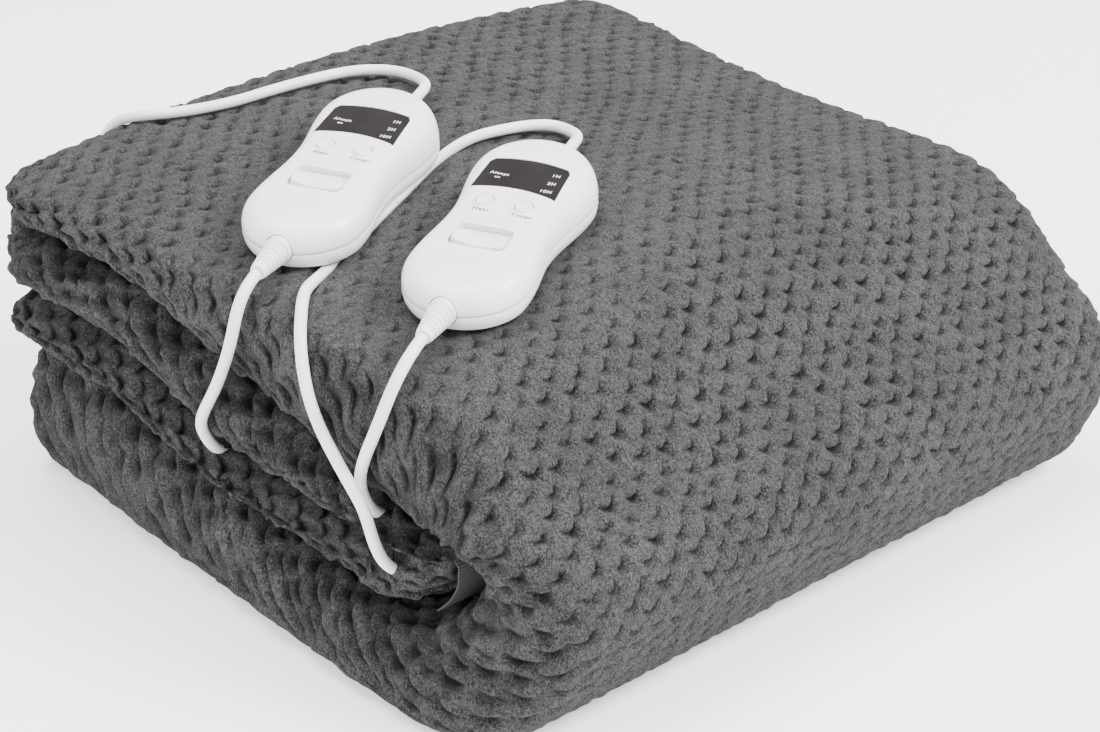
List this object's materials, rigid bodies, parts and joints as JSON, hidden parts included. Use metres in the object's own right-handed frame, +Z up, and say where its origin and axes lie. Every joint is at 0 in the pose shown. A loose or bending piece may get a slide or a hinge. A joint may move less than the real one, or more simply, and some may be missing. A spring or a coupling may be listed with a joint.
{
  "type": "electric heated blanket",
  "caption": "Folded grey plush heated blanket with hand controllers on top, cords into its folds and a coiled mains lead with a plug.",
  "frame": {"origin": "bottom centre of the folded blanket, on the surface it lies on", "axes": "+Z up; the wide rounded front fold faces -Y; the rounded layer edges where the heating cords go in face -X"},
  "size_m": [0.404, 0.4939, 0.1917],
  "materials": {
    "grey_plush": "long dense plush pile, matt",
    "ribbed_tape": "woven ribbed tape, matt",
    "white_shell": "smooth satin",
    "white_keys": "smooth satin",
    "dark_window": "smooth, semi-gloss",
    "white_cord": "smooth cord sheath",
    "pin_metal": "plated"
  },
  "bodies": {
    "blanket_and_cases": {"blanket": "grey_plush", "edge_binding": "ribbed_tape", "controller_a_base": "white_shell", "controller_a_case": "white_shell", "controller_a_window": "dark_window", "controller_a_head_relief": "white_cord", "controller_a_foot_relief": "white_cord", "controller_b_base": "white_shell", "controller_b_case": "white_shell", "controller_b_window": "dark_window", "controller_b_head_relief": "white_cord", "controller_b_foot_relief": "white_cord", "mains_lead": "white_cord", "mains_coil": "white_cord", "mains_tail": "white_cord", "mains_plug": "white_shell", "plug_pin_a": "pin_metal", "plug_pin_b": "pin_metal", "controller_b_cord": "white_cord", "front_heating_cord": "white_cord", "back_heating_cord": "white_cord"},
    "heat_button_a": {"controller_a_heat_button": "white_keys"},
    "timer_button_a": {"controller_a_timer_button": "white_keys"},
    "slide_a": {"controller_a_slide": "white_keys"},
    "heat_button_b": {"controller_b_heat_button": "white_keys"},
    "timer_button_b": {"controller_b_timer_button": "white_keys"},
    "slide_b": {"controller_b_slide": "white_keys"}
  },
  "joints": [
    {"name": "heat_button_a_press", "type": "slide", "parent": "blanket_and_cases", "child": "heat_button_a", "axis": [0.1326, 0.0964, -0.9865], "range_m": [0, 0.0008], "stiffness_N_per_m": 600},
    {"name": "timer_button_a_press", "type": "slide", "parent": "blanket_and_cases", "child": "timer_button_a", "axis": [0.1326, 0.0964, -0.9865], "range_m": [0, 0.0008], "stiffness_N_per_m": 600},
    {"name": "slide_a_travel", "type": "slide", "parent": "blanket_and_cases", "child": "slide_a", "axis": [0.8812, 0.4442, 0.1618], "range_m": [0, 0.006]},
    {"name": "heat_button_b_press", "type": "slide", "parent": "blanket_and_cases", "child": "heat_button_b", "axis": [0.1326, 0.0964, -0.9865], "range_m": [0, 0.0008], "stiffness_N_per_m": 600},
    {"name": "timer_button_b_press", "type": "slide", "parent": "blanket_and_cases", "child": "timer_button_b", "axis": [0.1326, 0.0964, -0.9865], "range_m": [0, 0.0008], "stiffness_N_per_m": 600},
    {"name": "slide_b_travel", "type": "slide", "parent": "blanket_and_cases", "child": "slide_b", "axis": [0.8812, 0.4442, 0.1618], "range_m": [0, 0.006]}
  ]
}
